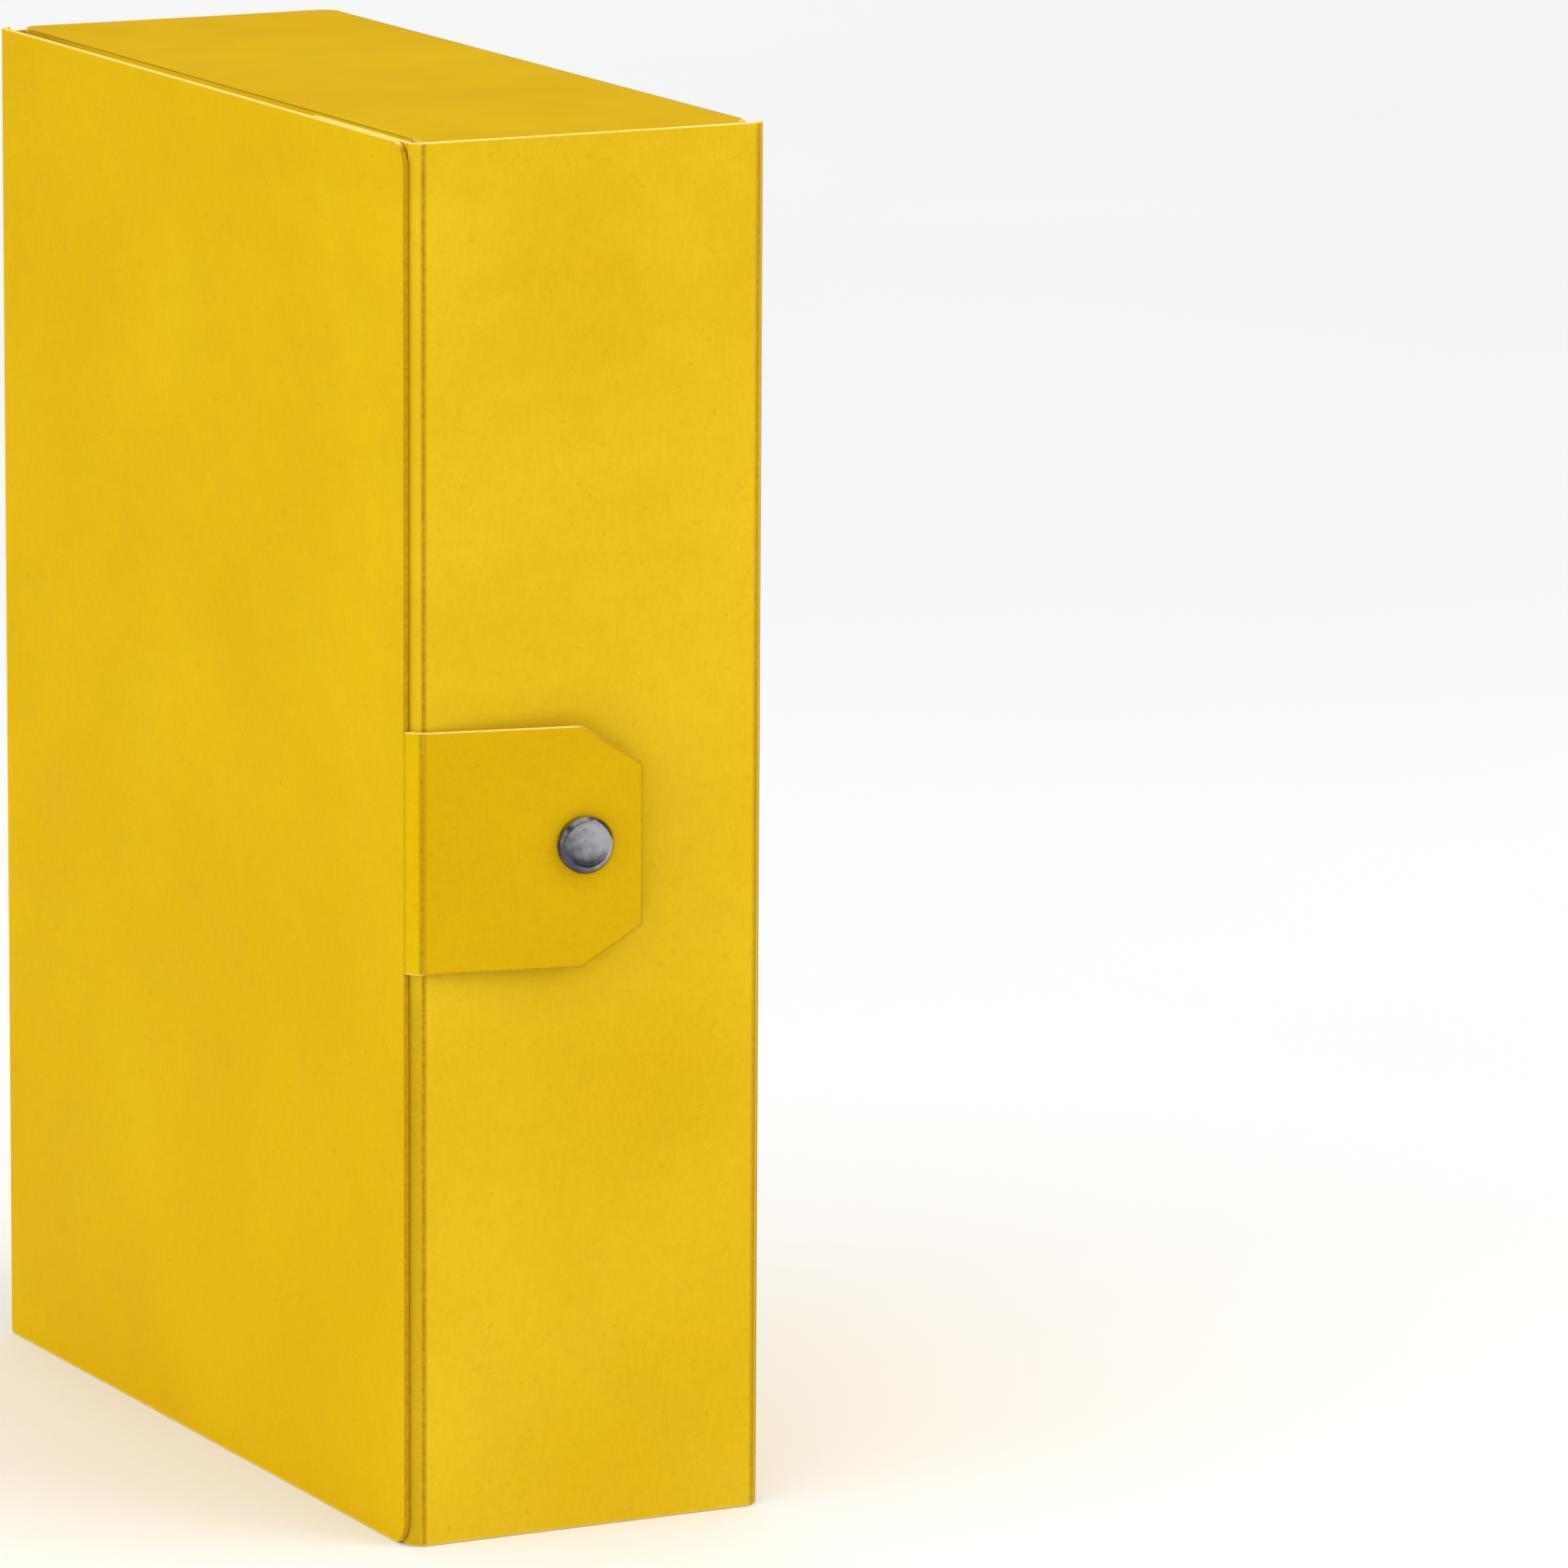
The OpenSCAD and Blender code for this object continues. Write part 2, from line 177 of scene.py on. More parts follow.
def board_material(name, light, deep, roughness):
    """Through-dyed, glazed pressboard: cloudy dye, fine fibres, paler cut edges, and darkened scores and
    edges, partly burnish and partly painted shade.
    """
    mat, tree, bsdf = new_material(name)
    coord = add(tree, "ShaderNodeTexCoord").outputs["Object"]
    clouds = cloud(tree, coord, 14.0, 4.0, 0.6)
    patches = cloud(tree, coord, 55.0, 3.0, 0.6)
    grain = cloud(tree, coord, 900.0, 2.0, 0.6)
    fibres = cloud(tree, coord, 1500.0, 2.0, 0.7, (1.0, 1.0, 0.22))
    colour = mix(tree, span(tree, clouds, 0.33, 0.68, 0.0, 1.0), light, deep)
    shade = span(tree, patches, 0.3, 0.7, 0.965, 1.02)
    shade = maths(tree, "MULTIPLY", shade, span(tree, grain, 0.3, 0.7, 0.972, 1.022))
    shade = maths(tree, "MULTIPLY", shade, span(tree, fibres, 0.32, 0.68, 0.975, 1.02))
    grey = add(tree, "ShaderNodeCombineColor", {0: shade, 1: shade, 2: shade}).outputs[0]
    colour = mix(tree, 1.0, colour, grey, "MULTIPLY")
    flecks = span(tree, cloud(tree, coord, 420.0, 2.0, 0.5), 0.67, 0.72, 0.0, 0.22)
    colour = mix(tree, flecks, colour, FLECK_COLOUR)
    # The score attribute holds burnish and painted shade: in creases, along cut edges, beside the cover,
    # and the darkening below the tab.
    score = maths(tree, "MULTIPLY", attribute(tree, "score"), span(tree, grain, 0.3, 0.7, 0.55, 1.0), True)
    colour = mix(tree, score, colour, SHADE_AND_BURNISH_COLOUR)
    layers = cloud(tree, coord, 2600.0, 2.0, 0.6, (1.0, 1.0, 0.05))
    edge = maths(tree, "MULTIPLY", attribute(tree, "edge"), span(tree, layers, 0.3, 0.7, 0.72, 1.0), True)
    colour = mix(tree, edge, colour, CUT_COLOUR)
    tree.links.new(colour, bsdf.inputs["Base Color"])
    rough = maths(tree, "ADD", span(tree, patches, 0.3, 0.7, roughness - 0.04, roughness + 0.05),
                  span(tree, grain, 0.3, 0.7, -0.03, 0.03))
    rough = maths(tree, "ADD", rough, maths(tree, "MULTIPLY", edge, 0.3), True)
    tree.links.new(rough, bsdf.inputs["Roughness"])
    height = maths(tree, "ADD", maths(tree, "MULTIPLY", grain, 0.5), maths(tree, "MULTIPLY", fibres, 0.5))
    height = maths(tree, "ADD", height, maths(tree, "MULTIPLY", patches, 0.9))
    bump = add(tree, "ShaderNodeBump", {"Strength": 0.35, "Distance": 0.00008, "Height": height})
    tree.links.new(bump.outputs["Normal"], bsdf.inputs["Normal"])
    bsdf.inputs["Specular IOR Level"].default_value = 0.008
    return mat


def metal_material(name, bright, dark, roughness, turning, shade_lean=0.0):
    """Plated metal with marks round its axis, as deep as turning says, fine scratches and tarnish.
    The last argument sets how far painted shade darkens the part towards its lower left."""
    mat, tree, bsdf = new_material(name)
    coord = add(tree, "ShaderNodeTexCoord").outputs["Object"]
    tarnish = cloud(tree, coord, 420.0, 4.0, 0.6)
    scratches = cloud(tree, coord, 3500.0, 2.0, 0.6, (1.0, 0.12, 0.6))
    split = add(tree, "ShaderNodeSeparateXYZ", {0: coord})
    radius = maths(tree, "SQRT", maths(tree, "ADD", maths(tree, "POWER", split.outputs[0], 2.0),
                                       maths(tree, "POWER", split.outputs[1], 2.0)))
    ring = add(tree, "ShaderNodeCombineXYZ", {0: radius, 1: split.outputs[2]}).outputs[0]
    rings = cloud(tree, ring, 9000.0, 2.0, 0.6)
    # Painted shade: the part darkens towards its lower left, on top of its tarnish.
    slant = maths(tree, "ADD", maths(tree, "MULTIPLY", split.outputs[0], CAP_SHADE_SLANT[0] * shade_lean),
                  maths(tree, "MULTIPLY", split.outputs[1], CAP_SHADE_SLANT[1] * shade_lean))
    tarnish_and_shade = maths(tree, "ADD", span(tree, tarnish, 0.3, 0.75, 0.1, 0.65), slant, True)
    colour = mix(tree, tarnish_and_shade, bright, dark)
    colour = mix(tree, span(tree, scratches, 0.62, 0.75, 0.0, 0.35), colour, bright)
    tree.links.new(colour, bsdf.inputs["Base Color"])
    rough = maths(tree, "ADD", span(tree, tarnish, 0.3, 0.7, roughness - 0.05, roughness + 0.09),
                  span(tree, scratches, 0.4, 0.75, 0.0, 0.08), True)
    tree.links.new(rough, bsdf.inputs["Roughness"])
    height = maths(tree, "ADD", maths(tree, "MULTIPLY", rings, turning),
                   maths(tree, "MULTIPLY", scratches, 0.35))
    bump = add(tree, "ShaderNodeBump", {"Strength": 0.3, "Distance": 0.00002, "Height": height})
    tree.links.new(bump.outputs["Normal"], bsdf.inputs["Normal"])
    bsdf.inputs["Metallic"].default_value = 1.0
    return mat


BOARD_MAT = board_material("glazed_pressboard", light=(0.750, 0.480, 0.004, 1),
                           deep=(0.705, 0.425, 0.002, 1), roughness=0.44)
# A lighter, bluer copy of the board for the fore-edge wall and the strip beside it: painted sheen of the
# light on the wall.
WALL_LIT_MAT = board_material("glazed_pressboard_wall_lit", light=(0.755, 0.503, 0.016, 1),
                          deep=(0.695, 0.435, 0.008, 1), roughness=0.44)
# A darker copy of the board for the tab: painted shade on the leaning tab.
TAB_SHADED_MAT = board_material("pressboard_tab_shaded", light=(0.675, 0.410, 0.005, 1),
                         deep=(0.630, 0.365, 0.003, 1), roughness=0.48)
FLAP_MAT = board_material("pressboard_flap", light=(0.73, 0.455, 0.005, 1),
                          deep=(0.68, 0.405, 0.003, 1), roughness=0.52)
# The cap darkens towards its lower left: painted shade.
CAP_MAT = metal_material("dark_nickel", bright=(0.37, 0.37, 0.39, 1), dark=(0.075, 0.08, 0.105, 1),
                         roughness=0.18, turning=0.8, shade_lean=1.15)
FITTING_MAT = metal_material("nickel_fitting", bright=(0.62, 0.61, 0.58, 1), dark=(0.42, 0.41, 0.39, 1),
                             roughness=0.3, turning=0.6)
WIRE_MAT = metal_material("bright_wire", bright=(0.72, 0.72, 0.72, 1), dark=(0.5, 0.5, 0.5, 1),
                          roughness=0.24, turning=0.2)


# ---- flat outlines ----
def outline(*corners):
    """Points and kinds of a shape's edges, from its corners in anticlockwise order. A corner is (u, v,
    rounding, kind of the edge to the next corner). Where a fold takes up only a stretch of a straight
    side, the caller puts a short step between it and the cut beside it."""
    points, kinds = [], []
    for i, (u, v, r, kind) in enumerate(corners):
        p = Vector((u, v))
        before = Vector(corners[i - 1][:2]) - p
        after = Vector(corners[(i + 1) % len(corners)][:2]) - p
        if r <= 0:
            points.append(p)
            kinds.append(kind)
            continue
        a, b = before.normalized(), after.normalized()
        half = a.angle(b) / 2
        reach = r / math.tan(half)
        centre = p + (a + b).normalized() * (r / math.sin(half))
        start, end = p + a * reach - centre, p + b * reach - centre
        turn = start.angle_signed(end)
        steps = max(3, round(abs(turn) * r / ARC_STEP))
        for k in range(steps + 1):
            s = turn * k / steps
            # angle_signed counts clockwise as positive
            c, d = math.cos(-s), math.sin(-s)
            points.append(centre + Vector((start.x * c - start.y * d, start.x * d + start.y * c)))
            kinds.append(CUT if k < steps else kind)
    return points, kinds


def inset(points, kinds, amount):
    """The outline moved inwards by amount(kind) at each edge."""
    out = []
    for i, p in enumerate(points):
        before, after = p - points[i - 1], points[(i + 1) % len(points)] - p
        n1, n2 = (Vector((-step.y, step.x)).normalized() for step in (before, after))
        o1, o2 = amount(kinds[i - 1]), amount(kinds[i])
        cross = n1.x * n2.y - n1.y * n2.x
        if abs(cross) < 1e-3:
            # on a straight side the fold keeps its whole mitre up to its end
            out.append(p + n1 * (o1 if kinds[i - 1][0] == "fold" else o2))
        else:
            out.append(p + Vector((o1 * n2.y - o2 * n1.y, o2 * n1.x - o1 * n2.x)) / cross)
    return out


def to_segment(p, a, b):
    """Distance from p to the segment a-b."""
    along = b - a
    if along.length_squared < 1e-12:
        return (p - a).length
    s = min(1.0, max(0.0, (p - a).dot(along) / along.length_squared))
    return (p - a - along * s).length


def smooth(x, low, high):
    s = min(1.0, max(0.0, (x - low) / (high - low)))
    return s * s * (3 - 2 * s)


# ---- from bmesh to finished piece ----
def add_object(name, bm, mat=None):
    """A new object of bm's shape in the scene."""
    mesh = bpy.data.meshes.new(name)
    bm.to_mesh(mesh)
    bm.free()
    if mat:
        mesh.materials.append(mat)
    obj = bpy.data.objects.new(name, mesh)
    bpy.context.scene.collection.objects.link(obj)
    return obj


def finish_piece(obj, crease, node, body):
    """Shades obj smooth but for edges sharper than crease, in degrees, hides the part it stands for and
    hangs obj on its body.
    """
    obj.data.polygons.foreach_set("use_smooth", [True] * len(obj.data.polygons))
    obj.data.set_sharp_from_angle(angle=math.radians(crease))
    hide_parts(node)
    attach(obj, body)


def on_axis(origin, axis):
    """The matrix that sets a turned shape's foot on origin, in millimetres, and its z along axis."""
    return Matrix.Translation(origin * MM) @ axis.to_track_quat("Z", "Y").to_matrix().to_4x4()


def drill(obj, centre, axis, radius):
    """A round hole through obj."""
    bm = bmesh.new()
    bmesh.ops.create_cone(bm, cap_ends=True, segments=48, radius1=radius * MM, radius2=radius * MM,
                          depth=8 * MM)
    bm.transform(on_axis(centre, axis))
    tool = add_object("drill", bm)
    cut = obj.modifiers.new("hole", "BOOLEAN")
    cut.operation, cut.object, cut.solver = "DIFFERENCE", tool, "EXACT"
    bpy.context.view_layer.update()
    made = bpy.data.meshes.new_from_object(obj.evaluated_get(bpy.context.evaluated_depsgraph_get()))
    obj.modifiers.clear()
    obj.data = made
    bpy.data.objects.remove(tool)


# ---- one sheet of board ----
def sheet_rings(points, kinds):
    """The sheet as a closed bmesh with its outer face at z = 0, a ring of points for each of its layers."""
    bm = bmesh.new()
    rings = []
    for depth, cut, fold in LAYERS:
        def amount(kind, depth=depth, cut=cut, fold=fold):
            if kind[0] == "cut":
                return cut
            # a fold that closes right up to its mitre clears the pressed-in groove too
            pressed = GROOVE * (1 - depth / BOARD) if kind == TUCK else 0.0
            return SLIT + fold + (depth + pressed) * math.tan(kind[1] / 2)
        rings.append([bm.verts.new((p.x, p.y, -depth)) for p in inset(points, kinds, amount)])
    count = len(points)
    for upper, lower in zip(rings, rings[1:]):
        for i in range(count):
            j = (i + 1) % count
            bm.faces.new((upper[i], lower[i], lower[j], upper[j]))
    bm.faces.new(rings[0])
    bm.faces.new(list(reversed(rings[-1])))
    bmesh.ops.remove_doubles(bm, verts=bm.verts, dist=1e-5)
    return bm


def cut_grid(bm, points, folds):
    """Cuts the sheet into cells, with closer lines beside its folds."""
    lo = Vector([min(p[k] for p in points) for k in range(2)])
    hi = Vector([max(p[k] for p in points) for k in range(2)])
    lines = []
    for axis in range(2):
        size = hi[axis] - lo[axis]
        number = max(1, round(size / CELL))
        lines += [(axis, lo[axis] + size * k / number) for k in range(1, number)]
    for a, b, _ in folds:
        axis = 0 if abs(a.x - b.x) < 1e-6 else 1
        side = 1 if a[axis] < (lo[axis] + hi[axis]) / 2 else -1
        room = 0.48 * (hi - lo)[axis]
        lines += [(axis, a[axis] + side * d) for d in FOLD_LINES if d < room]
    for axis, at in lines:
        where, across = Vector((0, 0, 0)), Vector((0, 0, 0))
        where[axis], across[axis] = at, 1.0
        bmesh.ops.bisect_plane(bm, geom=bm.verts[:] + bm.edges[:] + bm.faces[:], dist=1e-4,
                               plane_co=where, plane_no=across)
    bmesh.ops.remove_doubles(bm, verts=bm.verts, dist=WELD)
    bmesh.ops.dissolve_degenerate(bm, edges=bm.edges, dist=WELD)


def press_and_darken(bm, cuts, folds, marks, seed, wave, shaded_edge, worn):
    """Presses the scores into the outer face and lets the sheet bow inwards a little between them.
    Returns how pale each point is as a cut edge, and how dark: burnish and painted crease shade at scores,
    painted shade along cut edges, and the darkening of the face that is passed in."""
    edge_values, darkening_values = [], []
    for v in bm.verts:
        p, depth = v.co.xy, -v.co.z
        near_cut = min([to_segment(p, a, b) for a, b in cuts], default=FAR)
        near_fold, score, groove = FAR, 0.0, 0.0
        for number, (a, b, kind) in enumerate(folds):
            d = to_segment(p, a, b)
            near_fold = min(near_fold, d - depth * math.tan(kind[1] / 2))
            groove = max(groove, GROOVE * (1 - smooth(d, 0.0, GROOVE_REACH)))
            dark, width = marks.get(number, MARK)
            # burnish, and painted shade in the crease
            score = max(score, dark * (1 - smooth(d, 0.55 * width, 1.25 * width)))
        score = max(score, worn(p))
        # Painted shade along the cut edge, which also takes the paleness off it.
        edge_shade = shaded_edge(p)
        edge = 0.0
        if 1e-4 < depth < BOARD - 1e-4 and near_cut < near_fold:
            edge = 1.0 - edge_shade
            score = max(0.35 * score, 0.8 * edge_shade)
        elif near_cut < SOFT + 0.01:
            edge = 0.6 * (1 - edge_shade)
            score = max(score, edge_shade)
        elif near_cut < SOFT + RIM + 0.01:
            score = max(score, 0.6 * edge_shade)
        edge_values.append(edge)
        darkening_values.append(score)
        calm = smooth(near_fold, *CALM)
        bow = 0.5 + 0.5 * noise.noise(Vector((p.x * 0.013, p.y * 0.011, seed)))
        bow += 0.18 * noise.noise(Vector((p.x * 0.045, p.y * 0.04, seed + 7.3)))
        v.co.z -= wave * calm * max(0.0, bow) + groove * (1 - depth / BOARD)
    return edge_values, darkening_values


def nowhere(_):
    """Nothing darkened at any point."""
    return 0.0


def sheet(name, body, origin, along, up, shape, seed, stands_for, marks=None, wave=0.1, mirror=False,
          mat=BOARD_MAT, slot="yellow_board", hole=None, shaded_edge=nowhere, worn=nowhere):
    """A sheet whose outer face is spanned by along and up, with softened cut edges and pressed scores.
    marks gives, for a fold's number in the outline, how dark and how wide its band of burnish and painted
    crease shade is.
    The function for edges gives how far painted shade darkens the cut edge at p, from 0 to 1, and the
    function for faces how far the face is darkened.
    wave is how far the sheet bows inwards, in millimetres, and seed picks where. hole is the centre, axis
    and radius of a hole. mirror moves the sheet to the other end of the box."""
    points, kinds = shape
    sides = list(zip(points, points[1:] + points[:1], kinds))
    cuts = [(a, b) for a, b, kind in sides if kind[0] == "cut"]
    folds = [(a, b, kind) for a, b, kind in sides if kind[0] == "fold" and (b - a).length > 1e-6]
    bm = sheet_rings(points, kinds)
    cut_grid(bm, points, folds)
    edge_values, darkening_values = press_and_darken(bm, cuts, folds, marks or {}, seed, wave, shaded_edge, worn)

    axes = Matrix((along, up, along.cross(up))).transposed()
    for v in bm.verts:
        w = origin + axes @ v.co
        if mirror:
            w.z = TALL - w.z
        v.co = w * MM
    if mirror:
        bmesh.ops.reverse_faces(bm, faces=bm.faces[:])
    obj = add_object(name, bm, mat)
    for key, values in (("edge", edge_values), ("score", darkening_values)):
        obj.data.attributes.new(key, "FLOAT", "POINT").data.foreach_set("value", values)
    if hole:
        drill(obj, *hole)
    finish_piece(obj, SHEET_CREASE, stands_for, body)


def upright(name, body, a, b, low, high, start, end, top=CUT, **more):
    """An upright sheet from a to b in plan, from low to high."""
    run = (b - a).length
    along = Vector(((b - a).x, (b - a).y, 0)).normalized()
    shape = outline((0, low, 0, top), (run, low, 0, end), (run, high, 0, top), (0, high, 0, start))
    sheet(name, body, Vector((a.x, a.y, 0)), along, UP, shape, **more)


# ---- the snap's sizes: radii, and heights along its axis ----
CAP_R, CAP_H, DISH_R, DISH = 7.2, 3.0, 5.1, 0.3     # DISH is how deep the cap's face is dished
POST_R, POST_HOLE_R = 1.9, 2.0    # the holes in the tab and the socket clear the post
PLATE, CLINCH = 0.5, 0.3          # sheet of the socket, and the post's clinched end
BORE_R, BORE_H = 1.25, 2.0        # the stud's bore, which takes the eyelet's pin
NECK_R, FLANGE_R = 1.6, 4.1
SOCKET_R, CHAMBER_R, MOUTH_R = 4.1, 3.5, 2.6
EYELET_R, PIN_R, PIN_H = 4.0, 1.15, 1.6
RING_R, WIRE_R, RING_GAP = 2.6, 0.39, 28.0
TAB_GAP = 0.6                     # from the wall to the tab's inner face at the tab's fold
SOCKET_LIFT = 1.4                 # from the wall to the socket's mouth
STUD_CLEAR = 0.6                  # from the stud's end to the clinched post
RING_SEAT = 0.5                   # from the inner face of the socket's lip to the middle of the wire
SNAP_GAP = TAB_GAP + SNAP_U * math.sin(TAB_LEAN)
SOCKET_H = SNAP_GAP - SOCKET_LIFT
STUD_H = SNAP_GAP - PLATE - CLINCH - STUD_CLEAR


# ---- the box's upright sheets ----
def plan(x, y):
    return Vector((x, y))


back_spine = plan(HALF_W, HALF_D - BEVEL)
spine_back = plan(HALF_W - BEVEL, HALF_D)
spine_cover = plan(-HALF_W + BEVEL, HALF_D)
cover_spine = plan(-HALF_W, HALF_D - BEVEL)
flap_wall = plan(SIDE_X, -HALF_D + BEVEL)
wall_flap = plan(SIDE_X + BEVEL, -HALF_D)
wall_back = plan(HALF_W - BEVEL, -HALF_D)
back_wall = plan(HALF_W, -HALF_D + BEVEL)
tab_low, tab_high = TAB_MID - TAB_H / 2, TAB_MID + TAB_H / 2
tab_axis = Vector((TAB_SCORE.x, TAB_SCORE.y, TAB_MID))
snap_z = TAB_MID - TAB_SAG * SNAP_U / TAB_L + SNAP_RISE
tab_normal = Vector((TAB_DIR.y, -TAB_DIR.x, 0))
button = Vector((TAB_SCORE.x + TAB_DIR.x * SNAP_U, TAB_SCORE.y + TAB_DIR.y * SNAP_U, snap_z))
stud_middle = (corner("snap_stud", False) + corner("snap_stud", True)) / 2
stud = Vector((stud_middle.x, -HALF_D, stud_middle.z))

upright("back_cover_board", "box", back_wall, back_spine, BEVEL, TALL - BEVEL, SCORE, SCORE, SCORE,
        seed=1.0, stands_for="back_cover")
upright("spine_board", "box", spine_back, spine_cover, SPINE_LOW, TALL - SPINE_LOW, SCORE, SCORE,
        seed=2.0, stands_for="spine")
upright("spine_back_strip", "box", back_spine, spine_back, SPINE_LOW, TALL - SPINE_LOW, SCORE, SCORE,
        seed=3.0, stands_for="spine_back_crease")
upright("spine_cover_strip", "box", spine_cover, cover_spine, 0, TALL, SCORE, SCORE,
        seed=4.0, stands_for="spine_cover_crease")
upright("fore_edge_wall_board", "fore_edge", wall_flap, wall_back, 0, TALL, SCORE, SCORE, seed=5.0,
        marks={0: (0.6, 0.8), 1: (0.9, 1.25)}, mat=WALL_LIT_MAT, hole=(stud, Vector((0, 1, 0)), BORE_R),
        stands_for="fore_edge_wall")
upright("fore_edge_back_strip", "fore_edge_back_crease", wall_back, back_wall, 0, TALL, SCORE, SCORE,
        seed=6.0, marks={0: (0.7, 1.5), 1: (0.85, 1.3)}, stands_for="fore_edge_back_crease")
# The strip's face is darker below the tab.
upright("fore_edge_flap_strip", "fore_edge_flap_crease", flap_wall, wall_flap, 0, TALL, SCORE, SCORE,
        seed=7.0, marks={0: (0.3, 0.4), 1: (0.2, 0.4)}, mat=WALL_LIT_MAT, stands_for="fore_edge_flap_crease",
        worn=lambda p: 0.42 * smooth(tab_low - p.y, -3, 6))

cover_run = cover_spine.y - COVER_EDGE.y
fold_low, fold_high = tab_low - TAB_NOTCH, tab_high + TAB_NOTCH
# Painted shade darkens the cover's free edge.
sheet("front_cover_board", "cover", Vector((cover_spine.x, cover_spine.y, 0)), Vector((0, -1, 0)), UP,
      outline((0, 0, 0, CUT), (cover_run, 0, COVER_R, CUT), (cover_run, fold_low - STEP, 0, CUT),
              (cover_run, fold_low, 0, SCORE), (cover_run, fold_high, 0, CUT),
              (cover_run, fold_high + STEP, 0, CUT),
              (cover_run, TALL, COVER_R, CUT), (0, TALL, 0, SCORE)),
      seed=8.0, wave=0.16, marks={0: (0.45, 0.7), 1: (0.4, 0.7)}, stands_for="front_cover",
      shaded_edge=lambda p: smooth(p.x, cover_run - 5, cover_run - 1.5))

upright("tab_strip", "tab_crease", COVER_EDGE, TAB_SCORE, tab_low, tab_high, SCORE, SCORE,
        seed=9.0, marks={0: (0.8, 1.25), 1: (0.3, 0.6)}, stands_for="tab_crease")

slope = TAB_L - TAB_CLIP_L
slope_sag = TAB_SAG * slope / TAB_L
# Painted shade darkens the tab's slope, end and lower edge into thin dark lines.
sheet("closing_tab_board", "tab", tab_axis, Vector((TAB_DIR.x, TAB_DIR.y, 0)), UP,
      outline((0, -TAB_H / 2, 0, CUT), (slope, -TAB_H / 2 - slope_sag, TAB_SLOPE_R, CUT),
              (TAB_L, -TAB_H / 2 + TAB_CLIP_H - TAB_SAG, TAB_END_R, CUT),
              (TAB_L, TAB_H / 2 - TAB_CLIP_H - TAB_SAG, TAB_END_R, CUT),
              (slope, TAB_H / 2 - slope_sag, TAB_SLOPE_R, CUT), (0, TAB_H / 2, 0, SCORE)),
      seed=10.0, wave=0.12, marks={0: (0.5, 0.8)}, mat=TAB_SHADED_MAT, hole=(button, tab_normal, POST_HOLE_R),
      stands_for="closing_tab",
      shaded_edge=lambda p: 0.9 * max(smooth(p.x, slope - 2, slope + 2), smooth(-p.y, 0, 20)))

flap_run = SIDE_FLAP_EDGE - flap_wall.y
sheet("fore_edge_flap_board", "fore_edge_flap", Vector((SIDE_X, SIDE_FLAP_EDGE, 0)), Vector((0, -1, 0)), UP,
      outline((0, 0, SIDE_FLAP_R, CUT), (flap_run, 0, 0, SCORE), (flap_run, TALL, 0, CUT),
              (0, TALL, SIDE_FLAP_R, CUT)),
      seed=11.0, mat=FLAP_MAT, slot="flap_board", stands_for="fore_edge_flap")

# ---- the top and bottom walls with their strips and flaps ----
inner_x, outer_x = END_X + BEVEL, HALF_W - BEVEL
Y = Vector((0, 1, 0))


def painted_cover_shade(p):
    """Painted shade: how far the strip beside the cover is darkened towards the spine, where it lies in the
    cover's shade.
    """
    return 0.8 * smooth(p.y, STRIP_REAR - 70, STRIP_REAR)


for side, mirror in (("top", False), ("bottom", True)):
    sheet(side + "_wall_board", side + "_wall", Vector((0, 0, TALL)), Vector((1, 0, 0)), Y,
          outline((inner_x, END_FRONT, 0, CUT), (outer_x - WALL_CLIP + BEVEL, END_FRONT, 0, CUT),
                  (outer_x, STRIP_FRONT, 0, SCORE), (outer_x, STRIP_REAR, 0, CUT),
                  (outer_x, STRIP_REAR + STEP, 0, CUT), (outer_x, END_REAR, WALL_R - 3 * STEP, CUT),
                  (inner_x, END_REAR, WALL_R - 3 * STEP, CUT), (inner_x, STRIP_REAR + 2 * STEP, 0, CUT),
                  (inner_x, STRIP_REAR + STEP, 0, TUCK), (inner_x, STRIP_FRONT - STEP, 0, CUT),
                  (inner_x, STRIP_FRONT - 2 * STEP, 0, CUT)),
          seed=12.0 + mirror, wave=0.14, mirror=mirror, marks={0: (0.5, 0.8), 1: (0.35, 0.6)},
          stands_for=side + "_wall")
    for part, a, b, kind, worn in (
            ("back", (outer_x, TALL), (HALF_W, TALL - BEVEL), SCORE, nowhere),
            ("flap", (END_X, TALL - BEVEL), (inner_x, TALL), TUCK, painted_cover_shade)):
        run = math.dist(a, b)
        along = Vector((b[0] - a[0], 0, b[1] - a[1])).normalized()
        node = side + "_" + part + "_crease"
        sheet(side + "_" + part + "_strip", node, Vector((a[0], 0, a[1])), along, Y,
              outline((0, STRIP_FRONT, 0, CUT), (run, STRIP_FRONT, 0, kind), (run, STRIP_REAR, 0, CUT),
                      (0, STRIP_REAR, 0, kind)),
              seed=14.0 + mirror, mirror=mirror, marks={0: (0.35, 0.6), 1: (0.35, 0.6)}, stands_for=node,
              worn=worn)
    sheet(side + "_flap_board", side + "_flap", Vector((END_X, 0, 0)), Vector((0, -1, 0)), UP,
          outline((-STRIP_REAR, TALL - BEVEL, 0, CUT),
                  (-STRIP_REAR + END_FLAP_SLOPE, END_FLAP_Z, END_FLAP_R, CUT),
                  (-STRIP_FRONT - END_FLAP_SLOPE, END_FLAP_Z, END_FLAP_R, CUT),
                  (-STRIP_FRONT, TALL - BEVEL, 0, TUCK)),
          seed=16.0 + mirror, mirror=mirror, mat=FLAP_MAT, slot="flap_board",
          stands_for=side + "_flap")


